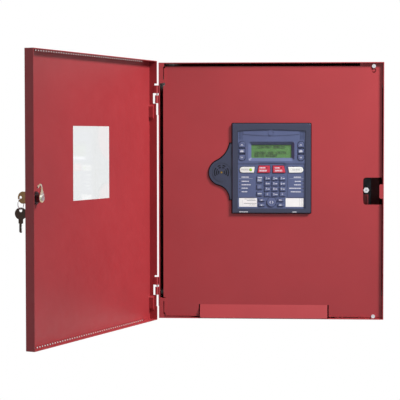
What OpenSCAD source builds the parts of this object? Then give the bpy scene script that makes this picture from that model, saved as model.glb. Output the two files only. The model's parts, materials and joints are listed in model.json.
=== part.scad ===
// Fire alarm control panel: a wall backbox with a hinged lockable door, an inner
// dress panel, and a keypad with display and sounder that looks out through it.
// Millimetres, +Z up. The origin is the centre of the backbox's back face, the wall
// is at +Y, and the front faces -Y. The door is drawn open, as it stands in service.

/* [Backbox] */
// Width of the backbox
box_w = 422.9; // [410:0.1:470]
// Height of the backbox
box_h = 482.6; // [470:0.1:540]
// Depth of the backbox
box_d = 133.4; // [128:0.1:170]
// Sheet thickness of the backbox
box_wall = 1.5; // [1.2:0.1:2]
// Width of the two corner tabs at the left of the mouth
corner_tab_w = 8.4; // [7:0.1:9]
// Height of the two corner tabs
corner_tab_h = 39; // [30:1:60]
// Height of the lips at the front of the floor
front_lip_h = 3; // [2:0.5:4]
// Length of each front lip
front_lip_len = 51; // [30:1:60]
// Radius of a conduit knockout
knockout_r = 11; // [8:0.5:14]
// Radius of a wall mounting hole
mount_hole_r = 3.5; // [2.5:0.5:4]
// Distance between the wall mounting holes, side to side
mount_pitch_x = 398; // [392:1:400]
// Height of the upper and lower mounting holes from the middle
mount_hole_z = 205; // [180:5:215]

/* [Door] */
// Sheet thickness of the door
door_sheet = 1.2; // [1:0.1:1.5]
// Depth of the door's folded edge
door_depth = 16.5; // [15.5:0.1:17.5]
// How far the door's face stands in front of the backbox when shut
door_standoff = 12.1; // [11.8:0.1:13]
// Gap between the door's edge and the side of the backbox
door_gap = 0.95; // [0.8:0.05:1.5]
// Gap between the door's edge and the top or floor of the backbox
door_end_gap = 2.1; // [1.5:0.1:3]
// How far the door stands open
door_open = 111.1; // [90:0.1:150]
// Width of the door's window opening
window_w = 124; // [100:1:150]
// Height of the door's window opening
window_h = 128; // [100:1:160]
// Thickness of the clear pane
pane_t = 2.4; // [2:0.2:4]
// How far the pane's rim laps the outside of the door
pane_lap = 5; // [3:0.5:8]
// Radius of a vent hole, one of a row cut through each bend at the top and foot
vent_r = 2.2; // [1.6:0.1:2.4]
// Distance from one vent hole to the next
vent_pitch = 7.9; // [6.5:0.1:10]

/* [Hinges] */
// Outer radius of the knuckles on the backbox
knuckle_r = 3.7; // [3.4:0.1:4.2]
// Length of one knuckle
knuckle_len = 14.7; // [12:0.1:18]
// Bare length of pin between the two knuckles
hinge_play = 4.1; // [3:0.1:6]
// Radius of the hinge pin
pin_r = 1.6; // [1.4:0.1:1.8]
// Thickness of the hinge leaves
leaf_t = 1.6; // [1.4:0.1:2]
// Height of each hinge above or below the point midway between them
hinge_z = 181.1; // [150:0.1:185]
// How far the hinge axis lies behind the mouth of the backbox
hinge_setback = 3.24; // [3:0.02:3.6]

/* [Lock] */
// Distance from the door's free edge to the lock's axis
lock_inset = 25.9; // [25.6:0.1:27]
// Height of the lock's axis above the middle of the door
lock_z = 2.8; // [0:0.1:5]
// Radius of the lock's threaded barrel
barrel_r = 7.4; // [7:0.1:8]
// Distance across the flats of the lock's nut
nut_af = 18.6; // [17:0.1:21]
// Length of the hook cam from the lock's axis to its end
cam_reach = 23.4; // [22:0.1:23.8]
// Thickness of the hook cam
cam_t = 1.5; // [1.2:0.1:1.8]
// Radius of a key's bow
bow_r = 10.1; // [9:0.1:11]
// Radius of the hole in a key's bow
bow_hole_r = 2.8; // [2.4:0.1:3]
// Thickness of a key
key_t = 1.9; // [1.6:0.1:2.2]
// Radius of the key ring, to the middle of its wire
ring_r = 8.7; // [8:0.1:12]
// Radius of the key ring's wire
ring_wire_r = 0.75; // [0.6:0.05:0.9]

/* [Dress panel] */
// Thickness of the dress panel
panel_t = 1.2; // [1:0.1:1.5]
// How far the dress panel lies behind the mouth of the backbox
panel_recess = 5.4; // [4.6:0.1:6]
// Gap between the dress panel and the left side of the backbox
panel_gap_left = 6.65; // [5:0.05:7.5]
// Gap between the dress panel and the right side of the backbox
panel_gap_right = 1.95; // [1:0.05:3]
// Gap above the dress panel
panel_gap_top = 5.7; // [4.5:0.1:7]
// Gap below the dress panel
panel_gap_bottom = 2.2; // [1.8:0.1:3.5]
// Width of the notch that clears the lock, at the panel's right edge
notch_w = 34.8; // [33:0.1:40]
// Height of the notch
notch_h = 50.8; // [44:0.1:60]
// Length of the finger lip at the foot of the panel
lip_len = 240.5; // [160:0.5:250]
// Height of the finger lip along its slope
lip_h = 26; // [18:0.5:30]
// Slope of the finger lip out of the panel
lip_angle = 20; // [10:1:22]

/* [Keypad] */
// Width of the keypad's frame
keypad_w = 147.8; // [147:0.1:156]
// Height of the keypad's frame
keypad_h = 168.4; // [168:0.1:178]
// Keypad centre to the right of the middle
keypad_x = 1; // [-5:0.5:5]
// Keypad centre above the middle
keypad_z = 42.5; // [35:0.5:48]
// How far the frame stands in front of the dress panel
keypad_proud = 5; // [4.8:0.1:6.5]
// Width of the sunk fascia
fascia_w = 127.6; // [126:0.1:129]
// Height of the sunk fascia
fascia_h = 148.4; // [147:0.1:150]
// Thickness of the fascia
fascia_t = 2; // [1.8:0.1:2.4]
// Wall thickness of the frame
frame_wall = 2; // [1.6:0.1:2.5]
// Gap round the frame in the dress panel
cutout_gap = 1.4; // [0.6:0.1:1.6]
// Radius of the sounder's lobe at the left of the frame
lobe_r = 23.5; // [22:0.1:25]
// Width of a digit key
digit_w = 11.3; // [10:0.1:11.6]
// Height of a digit key
digit_h = 8; // [7:0.1:8.2]
// Travel of a key
key_travel = 0.9; // [0.6:0.05:1.1]
// Gap between a key and its hole
key_gap = 0.35; // [0.3:0.05:0.4]
// How far a key stands out of the fascia
key_proud = 1.6; // [1.2:0.1:2]
// Width of the display glass
lcd_w = 75.4; // [70:0.1:78]
// Height of the display glass
lcd_h = 24.7; // [22:0.1:26]

/* [Inside] */
// Length of one battery
battery_l = 181; // [150:1:184]
// Thickness of one battery
battery_t = 76; // [65:1:80]
// Height of one battery
battery_h = 167; // [150:1:170]
// Height of the chassis plate off the back wall
chassis_lift = 41; // [36:1:50]
// Sheet thickness of the chassis
chassis_t = 1.2; // [1:0.1:1.6]
// Thickness of a circuit board
board_t = 1.6; // [1.4:0.1:2]

/* [Hidden] */
NODES = ["backbox", "box_hinges", "hinge_pins", "chassis", "main_board", "board_components",
  "transformer", "batteries", "battery_leads", "dress_panel", "dress_panel_screws",
  "hex_standoff", "keypad_frame", "keypad_fascia", "display_window", "display_module",
  "sounder", "keypad_board", "label_inserts", "door", "door_window", "door_hinges",
  "lock_body", "lock_nut", "lock_plug", "lock_cam", "cam_screw", "key_in_lock", "key_ring",
  "spare_key", "key_1", "key_2", "key_3", "key_4", "key_5", "key_6", "key_7", "key_8",
  "key_9", "key_star", "key_0", "key_hash", "menu_key_top", "menu_key_middle",
  "menu_key_bottom", "scroll_up_left", "scroll_enter_left", "scroll_down_left",
  "scroll_up_right", "scroll_enter_right", "scroll_down_right", "acknowledge_key",
  "silence_key", "drill_key", "reset_key", "soft_key_1", "soft_key_2", "soft_key_3",
  "soft_key_4", "nav_key"];
$fn = 48;

red = "firebrick";
navy = "#3c445a";
slate = "#5a648c";
cream = "#ebebe1";
zinc = "#c9c48c";
steel = "silver";

// Reach of a cutter past the face that it cuts
over = 1;
// Running clearance between a turned part and its bore
turn_gap = 0.1;
// Clearance between two fixed parts that are fitted by hand
fit_gap = 0.05;

// Backbox faces
side_x = box_w / 2;
top_z = box_h / 2;
mouth_y = -box_d;
in_x = side_x - box_wall;
in_z = top_z - box_wall;
floor_y = -box_wall;

// Catch tab that the hook cam passes behind, and the slot in the side wall for its end
catch_w = 8.2;
catch_h = 26.7;
catch_z = -0.5;
catch_slot_d = 8;

// Door, shut: outer face, tip of its edge, half sizes
door_y = mouth_y - door_standoff;
door_tip_y = door_y + door_depth;
door_half_w = side_x + door_gap + door_sheet;
door_half_h = top_z + door_end_gap + door_sheet;
window_x = 4.4;
window_z = 56.5;

// Vent rows: bare length at each end together, and how far they lie towards the free edge
vent_margin = 52;
vent_shift = 2.9;

// Hinge axis
hinge_x = -side_x - knuckle_r;
hinge_y = mouth_y + hinge_setback;
door_knuckle_r = knuckle_r - 0.3;
hinge_mid_z = 0.75;
hinge_at = [hinge_mid_z - hinge_z, hinge_mid_z + hinge_z];
// Depth of the door knuckle's blind end, which rests on the pin
hinge_blind = 1.6;
// Depths of the three steps cut in the door's edge at a hinge, from its tip
slot_depth = 5.4;
swing_depth = 8.3;
relief_depth = 1.4;
slot_above = 3.4;
relief_len = 22;
stiffener_t = 3.5;
stiffener_w = 9;
stiffener_len = 28;

// Lock, in the shut door
lock_x = door_half_w - lock_inset;
plug_r = 5;
head_r = 10.5;
head_t = 3.5;
nut_t = 5;
cam_y = mouth_y + box_wall + 0.3;
tail_w = 6.8;
cam_screw_r = 4.2;
cam_screw_h = 2;
shank_r = 1.9;

// Key, along its own length from the middle of the bow
bow_hole_x = -5.2;
shoulder_w = 7.5;
shoulder_end = 16.1;
blade_w = 4.9;
blade_end = 31.6;
// The key's shoulder stops this far from the plug's face
key_stop = 0.3;
plug_face_y = door_y - head_t - 0.4;
key_y = plug_face_y - key_stop - shoulder_end;
key_hole_y = key_y + bow_hole_x;
// Drop from the middle of a bow's hole to the ring's wire
ring_drop = bow_hole_r - ring_wire_r - 0.2;
ring_top_z = lock_z - ring_drop;
ring_foot_z = ring_top_z - 2 * ring_r;
spare_hole_z = ring_foot_z - ring_drop;
spare_twist = 12;

// Dress panel edges
panel_y = mouth_y + panel_recess;
panel_back_y = panel_y + panel_t;
panel_x0 = -in_x + panel_gap_left;
panel_x1 = in_x - panel_gap_right;
panel_z0 = -in_z + panel_gap_bottom;
panel_z1 = in_z - panel_gap_top;
lug_w = 8;
lug_top_z = panel_z1 - 3;
// Step at the root of each corner tab, and the slit that parts the tab from the panel
tab_step_w = 2;
tab_step_h = 8;
tab_slit_w = 1.4;
tab_slit_end = 32;
lug_x = panel_x0 + 3.3;
lug_y = mouth_y + box_wall + 0.3;
lip_x = -13.5;
lip_slit = 2.4;
// Height of the bend of the finger lip above the panel's lower edge
lip_room = 22.5;
notch_r = 5.8;
screw_x = panel_x1 - 15.5;
screw_top_z = panel_z1 - 0.3;
screw_bottom_z = panel_z0 + 1.9;
screw_r = 1.9;
screw_head_r = 3.6;
// Flanges behind the panel's right corners
flange_len = 43;
flange_h = 16;
flange_side_w = 8.5;
flange_side_len = 42;

// Keypad depths
frame_y = panel_y - keypad_proud;
front_wall = 2.9;
fascia_y = frame_y + front_wall + 0.1;
fascia_back_y = fascia_y + fascia_t;
key_flange_t = 0.8;
key_flange_y = fascia_back_y + 0.2;
board_y = key_flange_y + key_flange_t + key_travel + 0.4;
board_back_y = board_y + board_t;
frame_back_y = board_back_y + 8;
ear_y = frame_y + 2.2;
fascia_x = 0.65;
fascia_z = -1.25;
fascia_lap = 2;
arch_rise = 2.4;
// Slots in the lower edge of the frame's front, from one end to the other
pry_slots = [[-62, -44], [33, 57]];
boss_r = 2.5;
// Raised ground of the fascia: the display's surround, and the status fields at the sides
plateau = 1.4;
plateau_z = 9;
field_rise = 0.6;
boss_x = keypad_w / 2 - frame_wall - boss_r - 0.4;
boss_z = keypad_h / 2 - frame_wall - boss_r - 0.4;

// Sounder's ear: lobe centre, and the radii of its two hollow flanks
lobe_x = -keypad_w / 2 - 20;
lobe_z = -7.8;
ear_top_z = 46.5;
ear_bottom_z = -58.5;
ear_root_x = -keypad_w / 2 - 4;
flank_top_r = 47.1;
flank_bottom_r = 28.1;
// Gap round the ear in the dress panel
ear_gap = 2;
sounder_r = 15;
sounder_h = 9;

// Display, from the keypad's centre
lcd_x = 0;
lcd_z = 32;
// Depth of the display window's back behind the fascia
pane_back = 1;
lcd_rim_w = 87;
lcd_rim_h = 36.8;

// Digit keys
digit_pitch_x = 14.2;
digit_pitch_z = 10.05;
digit_z = -18.6;
digit_x = 7.1;
menu_x = -21.8;
menu_w = 10.7;
// Menu keys from the top: height of the middle, and length upwards
menu_keys = [[-20.3, 12.7], [-34.8, 8.8], [-47.6, 8.2]];

// Function keys: the lengths run from the middle to a key's outer end, inner end and foot
red_key_top = 4.8;
white_key_top = 2.5;
function_key_bottom = -8.2;
white_key_end = 59.8;
white_key_inner = 31.4;
white_key_foot = 33.2;
red_key_end = 23.6;
red_key_inner = 2.9;
red_key_foot = 26.2;
// Scroll keys: place and width, then foot, eaves and ridge of the upper one
scroll_x = 55.4;
scroll_w = 11.2;
scroll_foot_z = 39.6;
scroll_eaves_z = 46.6;
scroll_ridge_z = 50;
scroll_ridge_w = 2.4;
enter_z = 32.6;
enter_h = 6.9;
scroll_mid_z = 32.3;
soft_x = 18;
soft_z = [-59.6, -69];
soft_w = 11.5;
soft_h = 5.2;
nav_x = 0.3;
nav_z = -63.8;
nav_r = 8.6;

// Status lamps, in two rows down the fascia's sides
lamp_x = 59.6;
lamp_z = -24.7;
lamp_pitch = 6.6;
lamp_r = 0.9;
// Lamps inside the function keys: across, up, radius
key_lamps = [[-38.8, -2.8, 2.5], [-8.6, 0.9, 0.9], [18.7, 0.9, 0.9]];

// Label windows
label_w = 34.2;
label_h = 16.7;
label_z = -64.2;
label_x = 43.9;
label_sink = 0.5;

// Inside
chassis_y = -chassis_lift;
chassis_x0 = -112;
chassis_x1 = in_x - 18;
battery_top_z = -in_z + battery_h + 0.3;
chassis_z0 = battery_top_z + 12.5;
chassis_z1 = in_z - 17.8;
board_inset = 10;
main_lift = 8;
main_y = chassis_y - chassis_t - main_lift - board_t;
main_x0 = chassis_x0 + board_inset;
main_x1 = chassis_x1 - 28;
main_z0 = chassis_z0 + board_inset;
main_z1 = chassis_z1 - board_inset;
post_r = 3;
post_inset = 8;
standoff_x = 179.5;
standoff_z = 1.3;
standoff_af = 9.6;
standoff_front_y = panel_y + 12;
battery_gap = 14;
battery_y = floor_y - 1;
terminal_h = 6;
terminal_w = 6;
terminal_x = 11;
terminal_y = 8.5;
// Terminal strips: size of one, its wire mouths, and where the lower row starts
strip_l = 20;
strip_h = 10;
strip_d = 12;
strip_pitch = 24;
mouth_x = 2.8;
mouth_pitch = 4.8;
mouth_w = 3.6;
mouth_depth = 6;
mouth_lift = 4;
lower_strip_x = -62;
transformer_x = -162;
transformer_z = 60;
transformer_d = 50;

// Conduit knockouts: how far those near the wall and near the front lie off the wall
near_wall = 38;
near_front = 100;
side_knockouts = [60, 130];
back_knockouts = [-60, 60];

// ---- points and plain helpers -------------------------------------------------

// Points on an arc about c, from angle a0 to a1 in n steps
function arc(c, r, a0, a1, n) = [for (i = [0:n])
  [c[0] + r * cos(a0 + (a1 - a0) * i / n), c[1] + r * sin(a0 + (a1 - a0) * i / n)]];

// Rectangle about the origin with round corners
function rounded(w, h, r, n = 4) = concat(
  arc([w / 2 - r, h / 2 - r], r, 0, 90, n), arc([r - w / 2, h / 2 - r], r, 90, 180, n),
  arc([r - w / 2, r - h / 2], r, 180, 270, n), arc([w / 2 - r, r - h / 2], r, 270, 360, n));

function shift(pts, by) = [for (p = pts) p + by];

// Band between two radii from angle a0 to a1
function band(r0, r1, a0, a1, n) = concat(arc([0, 0], r1, a0, a1, n), arc([0, 0], r0, a1, a0, n));

// Where a circle of radius ra about a meets one of radius rb about b, on the side s
function meet(a, ra, b, rb, s) =
  let (d = norm(b - a), e = (b - a) / d, k = (ra * ra - rb * rb + d * d) / (2 * d))
  a + e * k + s * sqrt(ra * ra - k * k) * [-e[1], e[0]];

// Angle of the line from a to b
function heading(a, b) = atan2(b[1] - a[1], b[0] - a[0]);

module plate(front, t) {
  translate([0, front + t, 0]) rotate([90, 0, 0]) linear_extrude(t) children();
}

module rod_y(x, z, front, len, r) {
  translate([x, front + len, z]) rotate([90, 0, 0]) cylinder(h = len, r = r);
}

module block(x0, x1, y0, y1, z0, z1) {
  translate([x0, y0, z0]) cube([x1 - x0, y1 - y0, z1 - z0]);
}

module slab(pts, front, t) {
  plate(front, t) polygon(pts);
}

// Turns what is drawn for the shut door to where the door stands
module on_door() {
  translate([hinge_x, hinge_y, 0]) rotate([0, 0, -door_open])
    translate([-hinge_x, -hinge_y, 0]) children();
}

module on_keypad() {
  translate([keypad_x, 0, keypad_z]) children();
}

// ---- backbox ------------------------------------------------------------------

// A slit ring with two ties, along Z through a sheet
module knockout() {
  difference() {
    cylinder(h = box_wall + 2 * over, r = knockout_r, center = true);
    cylinder(h = box_wall + 4 * over, r = knockout_r - 0.8, center = true);
    cube([3, 2 * knockout_r + over, box_wall + 4 * over], center = true);
  }
}

module box_knockouts() {
  for (x = [-150 : 75 : 150]) {
    translate([x, -near_wall, top_z - box_wall / 2]) knockout();
  }
  for (x = [-150 : 100 : 150]) {
    translate([x, -near_front, box_wall / 2 - top_z]) knockout();
  }
  for (s = [-1, 1], z = side_knockouts) {
    translate([s * (side_x - box_wall / 2), -near_wall, z]) rotate([0, 90, 0]) knockout();
  }
  for (x = back_knockouts) {
    translate([x, -box_wall / 2, mount_hole_z]) rotate([90, 0, 0]) knockout();
  }
}

module box_mount_holes() {
  slot = 12;
  front = -box_wall - over;
  len = box_wall + 2 * over;
  for (x = [-mount_pitch_x / 2, mount_pitch_x / 2]) {
    rod_y(x, -mount_hole_z, front, len, mount_hole_r);
    rod_y(x, mount_hole_z, front, len, 2 * mount_hole_r);
    rod_y(x, mount_hole_z + slot, front, len, mount_hole_r);
    block(x - mount_hole_r, x + mount_hole_r, front, over, mount_hole_z, mount_hole_z + slot);
  }
}

module corner_tabs() {
  r = 4;
  x1 = corner_tab_w - side_x;
  z0 = top_z - corner_tab_h;
  for (s = [-1, 1]) {
    slab([for (p = concat([[-side_x, top_z]], arc([r - side_x, z0 + r], r, 180, 270, 5),
        arc([x1 - r, z0 + r], r, 270, 360, 5), [[x1, top_z - tab_step_h], [x1 + tab_step_w, top_z - tab_step_h],
        [x1 + tab_step_w, top_z]])) [p[0], s * p[1]]], mouth_y, box_wall);
  }
}

// Flanges behind the dress panel's right corners, which its screws go into
module corner_flanges() {
  bevel = 5;
  x1 = in_x + box_wall / 2;
  z1 = in_z + box_wall / 2;
  for (s = [-1, 1]) {
    difference() {
      slab([for (p = [[x1, z1], [in_x - flange_len, z1], [in_x - flange_len, in_z - flange_h + bevel],
          [in_x - flange_len + bevel, in_z - flange_h], [in_x - flange_side_w, in_z - flange_h],
          [in_x - flange_side_w, in_z - flange_side_len], [x1, in_z - flange_side_len]])
          [p[0], s * p[1]]], panel_back_y, box_wall);
      rod_y(screw_x, s > 0 ? screw_top_z : screw_bottom_z, panel_back_y - over, box_wall + 2 * over,
        screw_r + fit_gap);
    }
  }
}

module catch_tab() {
  r = 3;
  x0 = side_x - catch_w - 0.05;
  z0 = catch_z - catch_h / 2;
  z1 = catch_z + catch_h / 2;
  slab(concat([[side_x, z1]], arc([x0 + r, z1 - r], r, 90, 180, 5),
    arc([x0 + r, z0 + r], r, 180, 270, 5), [[side_x, z0]]), mouth_y, box_wall);
}

// Channel bracket at the right, seen through the notch
module side_bracket() {
  x0 = 173.5;
  x1 = 183.5;
  z1 = -7.4;
  z0 = -62;
  y0 = panel_y + 16;
  y1 = y0 + 7.5;
  block(x0, x1, y1 - box_wall, y1, z0, z1);
  block(x1 - box_wall, x1, y0, y1, z0, z1);
  block(x0, x1, y0, y1, z1 - box_wall, z1);
  block(x0, in_x + box_wall / 2, y1 - box_wall, y1, z0, z0 + 24);
}

module backbox() {
  color(red) {
    difference() {
      block(-side_x, side_x, mouth_y, 0, -top_z, top_z);
      block(-in_x, in_x, mouth_y - over, floor_y, -in_z, in_z);
      box_knockouts();
      box_mount_holes();
      block(in_x - over, side_x + over, mouth_y + box_wall, mouth_y + box_wall + catch_slot_d,
        catch_z - catch_h / 2 + 1, catch_z + catch_h / 2 - 1);
    }
    corner_tabs();
    corner_flanges();
    catch_tab();
    side_bracket();
    for (x = [panel_x0 + 3, in_x - 38 - front_lip_len]) {
      block(x, x + front_lip_len, mouth_y, mouth_y + box_wall, -top_z, -top_z + front_lip_h);
    }
  }
}

// ---- hinges -------------------------------------------------------------------

module box_hinges() {
  leaf_reach = 24;
  leaf_drop = 3.7;
  for (z = hinge_at) {
    z1 = z - hinge_play / 2;
    z0 = z1 - knuckle_len;
    color(red) difference() {
      union() {
        translate([hinge_x, hinge_y, z0]) cylinder(h = knuckle_len, r = knuckle_r);
        block(-side_x - leaf_t, -side_x, hinge_y, hinge_y + leaf_reach, z0, z1);
        block(-side_x - leaf_t, -side_x, hinge_y + leaf_drop, hinge_y + leaf_reach, z0 - relief_len, z1);
      }
      translate([hinge_x, hinge_y, z0 - over]) cylinder(h = knuckle_len + 2 * over, r = pin_r + fit_gap);
    }
  }
}

module hinge_pins() {
  for (z = hinge_at) {
    color(steel) translate([hinge_x, hinge_y, z - hinge_play / 2 - knuckle_len])
      cylinder(h = 2 * knuckle_len + hinge_play - hinge_blind - 0.1, r = pin_r);
  }
}

module door_hinges() {
  strap_t = 1.8;
  color(red) on_door() for (z = hinge_at) {
    z0 = z + hinge_play / 2;
    difference() {
      union() {
        translate([hinge_x, hinge_y, z0]) cylinder(h = knuckle_len, r = door_knuckle_r);
        block(hinge_x + door_knuckle_r - strap_t, hinge_x + door_knuckle_r, door_tip_y - slot_depth,
          hinge_y, z0, z0 + knuckle_len);
      }
      translate([hinge_x, hinge_y, z0 - over])
        cylinder(h = knuckle_len - hinge_blind + over, r = pin_r + turn_gap);
    }
    z1 = z - hinge_play / 2 - knuckle_len - 2;
    x0 = door_sheet - door_half_w;
    slab([[x0, z1], [x0, z1 - stiffener_len], [x0 + stiffener_t, z1 - stiffener_len + 4],
      [x0 + stiffener_t, z1 - 4]], door_y + door_sheet, stiffener_w);
  }
}

// ---- door ---------------------------------------------------------------------

// A row of holes through the bend at the top (s = 1) or the foot (s = -1), half in the face
// and half in the edge, so each is cut at 45 degrees
module vent_row(s) {
  n = floor((2 * door_half_w - vent_margin) / vent_pitch);
  for (i = [0 : n]) {
    translate([vent_shift + (i - n / 2) * vent_pitch, door_y, s * door_half_h]) rotate([s * 45, 0, 0])
      cylinder(h = 4 * vent_r, r = vent_r, center = true, $fn = 16);
  }
}

// Steps in the door's hinge edge: room for its own knuckle, for the box's, and relief below
module hinge_steps() {
  gap = hinge_play / 2;
  x0 = -door_half_w - over;
  x1 = door_sheet - door_half_w + 0.1;
  y1 = door_tip_y + over;
  for (z = hinge_at) {
    block(x0, x1, door_tip_y - slot_depth, y1, z + gap, z + gap + knuckle_len + slot_above);
    block(x0, x1, door_tip_y - swing_depth, y1, z - gap - knuckle_len - 0.5, z + gap);
    block(x0, x1, door_tip_y - relief_depth, y1, z - gap - knuckle_len - relief_len, z);
  }
}

// The lock's barrel, or the hole for it, with its two flats
module barrel_form(front, len, gap) {
  flats = 13.2;
  intersection() {
    rod_y(lock_x, lock_z, front, len, barrel_r + gap);
    block(lock_x - flats / 2 - gap, lock_x + flats / 2 + gap, front, front + len,
      lock_z - barrel_r - over, lock_z + barrel_r + over);
  }
}

module door() {
  color(red) on_door() difference() {
    block(-door_half_w, door_half_w, door_y, door_tip_y, -door_half_h, door_half_h);
    block(door_sheet - door_half_w, door_half_w - door_sheet, door_y + door_sheet, door_tip_y + over,
      door_sheet - door_half_h, door_half_h - door_sheet);
    block(window_x - window_w / 2, window_x + window_w / 2, door_y - over, door_y + door_sheet + over,
      window_z - window_h / 2, window_z + window_h / 2);
    barrel_form(door_y - over, door_sheet + 2 * over, turn_gap);
    for (s = [-1, 1]) {
      vent_row(s);
    }
    hinge_steps();
  }
}

module door_window() {
  rim_t = pane_t - door_sheet;
  w = window_w / 2;
  h = window_h / 2;
  color("white", 0.4) on_door() translate([window_x, 0, window_z]) {
    block(-w - pane_lap, w + pane_lap, door_y - rim_t, door_y, -h - pane_lap, h + pane_lap);
    block(turn_gap - w, w - turn_gap, door_y - rim_t / 2, door_y + door_sheet, turn_gap - h, h - turn_gap);
  }
}

// ---- lock and keys ------------------------------------------------------------

module lock_body() {
  color(steel) on_door() difference() {
    union() {
      rod_y(lock_x, lock_z, door_y - head_t, head_t, head_r);
      barrel_form(door_y - over, cam_y - door_y + over - 0.6, 0);
    }
    rod_y(lock_x, lock_z, door_y - head_t - over, head_t + door_depth, plug_r + turn_gap);
  }
}

module lock_nut() {
  color("dimgray") on_door() difference() {
    translate([lock_x, door_y + door_sheet + nut_t, lock_z]) rotate([90, 30, 0])
      cylinder(h = nut_t, r = nut_af / 2 / cos(30), $fn = 6);
    rod_y(lock_x, lock_z, door_y, door_depth, barrel_r + turn_gap);
  }
}

module lock_plug() {
  keyway_end = plug_face_y + key_stop + blade_end - shoulder_end + 0.2;
  color(steel) on_door() difference() {
    union() {
      rod_y(lock_x, lock_z, plug_face_y, cam_y - 0.3 - plug_face_y, plug_r);
      block(lock_x - tail_w / 2, lock_x + tail_w / 2, cam_y - over, cam_y + cam_t - 0.1,
        lock_z - tail_w / 2, lock_z + tail_w / 2);
    }
    block(lock_x - key_t / 2 - turn_gap, lock_x + key_t / 2 + turn_gap, plug_face_y - over,
      keyway_end, lock_z - blade_w / 2 - turn_gap, lock_z + blade_w / 2 + turn_gap);
    rod_y(lock_x, lock_z, cam_y - 1.4, door_depth, shank_r + fit_gap);
  }
}

// Outline of the hook cam about the lock's axis: across towards the free edge, up
function cam_outline() =
  let (hook = [4.6, cam_reach - 5.6])
  concat(arc([0, 0], 7.6, 160, 380, 14), [[4.6, 8], [2.9, 13]],
    arc([hook[0] + 0.6, hook[1] - 0.6], 3, 190, 60, 5), [[9.4, hook[1] - 0.8]],
    arc([11.2, hook[1] + 0.2], 1.9, 250, 400, 4), arc(hook, 5.6, 60, 170, 7), [[-2.4, 13], [-5, 8]]);

module lock_cam() {
  color(zinc) on_door() difference() {
    translate([lock_x, 0, lock_z]) slab(cam_outline(), cam_y, cam_t);
    block(lock_x - tail_w / 2 - 0.1, lock_x + tail_w / 2 + 0.1, cam_y - over, cam_y + cam_t + over,
      lock_z - tail_w / 2 - 0.1, lock_z + tail_w / 2 + 0.1);
  }
}

module cam_screw() {
  head_y = cam_y + cam_t + fit_gap;
  color(steel) on_door() difference() {
    union() {
      rod_y(lock_x, lock_z, head_y, cam_screw_h, cam_screw_r);
      rod_y(lock_x, lock_z, cam_y - 1.2, head_y - cam_y + 1.3, shank_r);
    }
    for (a = [0, 90]) {
      translate([lock_x, head_y + cam_screw_h, lock_z]) rotate([0, a, 0])
        cube([4.6, 2, 0.9], center = true);
    }
  }
}

// A cut key's outline along its length, with the bow at the origin
function key_outline() =
  let (a = asin(shoulder_w / 2 / bow_r), n = 5, step = (blade_end - shoulder_end - 3) / n,
    tip = blade_end - 1.6)
  concat(arc([0, 0], bow_r, a, 360 - a, 30),
    [[shoulder_end, -shoulder_w / 2], [shoulder_end, -blade_w / 2], [tip, -blade_w / 2],
      [blade_end, -0.4], [blade_end, 0.4], [tip, blade_w / 2]],
    [for (i = [n - 1 : -1 : 0], p = [[0.8, 0.6], [0.4, -0.45 - 0.22 * (i % 3)], [0.15, -0.45 - 0.22 * (i % 3)]])
      [shoulder_end + 1.6 + step * (i + p[0]), blade_w / 2 - 1 + p[1]]],
    [[shoulder_end, blade_w / 2], [shoulder_end, shoulder_w / 2]]);

// A key lying flat in XY along +X, its thickness about Z
module cut_key() {
  difference() {
    translate([0, 0, -key_t / 2]) linear_extrude(key_t) polygon(key_outline());
    translate([bow_hole_x, 0, -key_t]) cylinder(h = 2 * key_t, r = bow_hole_r);
  }
}

module key_in_lock() {
  color("peru") on_door() translate([lock_x, key_y, lock_z]) rotate([0, 90, 0])
    rotate([0, 0, 90]) cut_key();
}

module key_ring() {
  color(steel) on_door() translate([lock_x, key_hole_y, ring_top_z - ring_r]) rotate([90, 0, 0])
    rotate_extrude($fn = 64) translate([ring_r, 0]) circle(r = ring_wire_r, $fn = 20);
}

module spare_key() {
  color("#3a3634") on_door() translate([lock_x, key_hole_y, spare_hole_z]) rotate([0, 0, spare_twist])
    rotate([0, 90, 0]) translate([-bow_hole_x, 0, 0]) cut_key();
}

// ---- dress panel --------------------------------------------------------------

// Outline of the sounder's ear, from its upper root round the lobe to its lower root
function ear_outline(grow) =
  let (lobe = [lobe_x, lobe_z], top = ear_top_z + grow, bottom = ear_bottom_z - grow,
    rt = flank_top_r - grow, rb = flank_bottom_r - grow,
    ct = meet([ear_root_x, ear_top_z], flank_top_r, lobe, lobe_r + flank_top_r, -1),
    cb = meet([ear_root_x, ear_bottom_z], flank_bottom_r, lobe, lobe_r + flank_bottom_r, 1))
  concat([[1 - keypad_w / 2, top]], arc(ct, rt, asin((top - ct[1]) / rt), heading(ct, lobe), 10),
    arc(lobe, lobe_r + grow, heading(lobe, ct), heading(lobe, cb) + 360, 22),
    arc(cb, rb, heading(cb, lobe), asin((bottom - cb[1]) / rb), 8), [[1 - keypad_w / 2, bottom]]);

module keypad_cutout() {
  on_keypad() {
    slab(rounded(keypad_w + 2 * cutout_gap, keypad_h + 2 * cutout_gap, 2, 2), panel_y - over,
      panel_t + 2 * over);
    slab(ear_outline(ear_gap), panel_y - over, panel_t + 2 * over);
  }
}

module panel_screw_slots() {
  keyhole_drop = 7.9;
  keyhole_r = 4.2;
  slot = screw_r + 0.4;
  front = panel_y - over;
  back = panel_back_y + over;
  rod_y(screw_x, screw_top_z - keyhole_drop, front, back - front, keyhole_r);
  block(screw_x - slot, screw_x + slot, front, back, screw_top_z - keyhole_drop, panel_z1 + over);
  block(screw_x - slot, screw_x + slot, front, back, panel_z0 - over, screw_bottom_z);
  rod_y(screw_x, screw_bottom_z, front, back - front, slot);
}

module panel_lip() {
  r = 4;
  translate([lip_x, panel_y, panel_z0 + lip_room]) rotate([-lip_angle, 0, 0])
    slab(concat([[lip_len / 2, 0.2], [-lip_len / 2, 0.2]], arc([r - lip_len / 2, r - lip_h], r, 180, 270, 4),
      arc([lip_len / 2 - r, r - lip_h], r, 270, 360, 4)), 0, panel_t);
}

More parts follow.
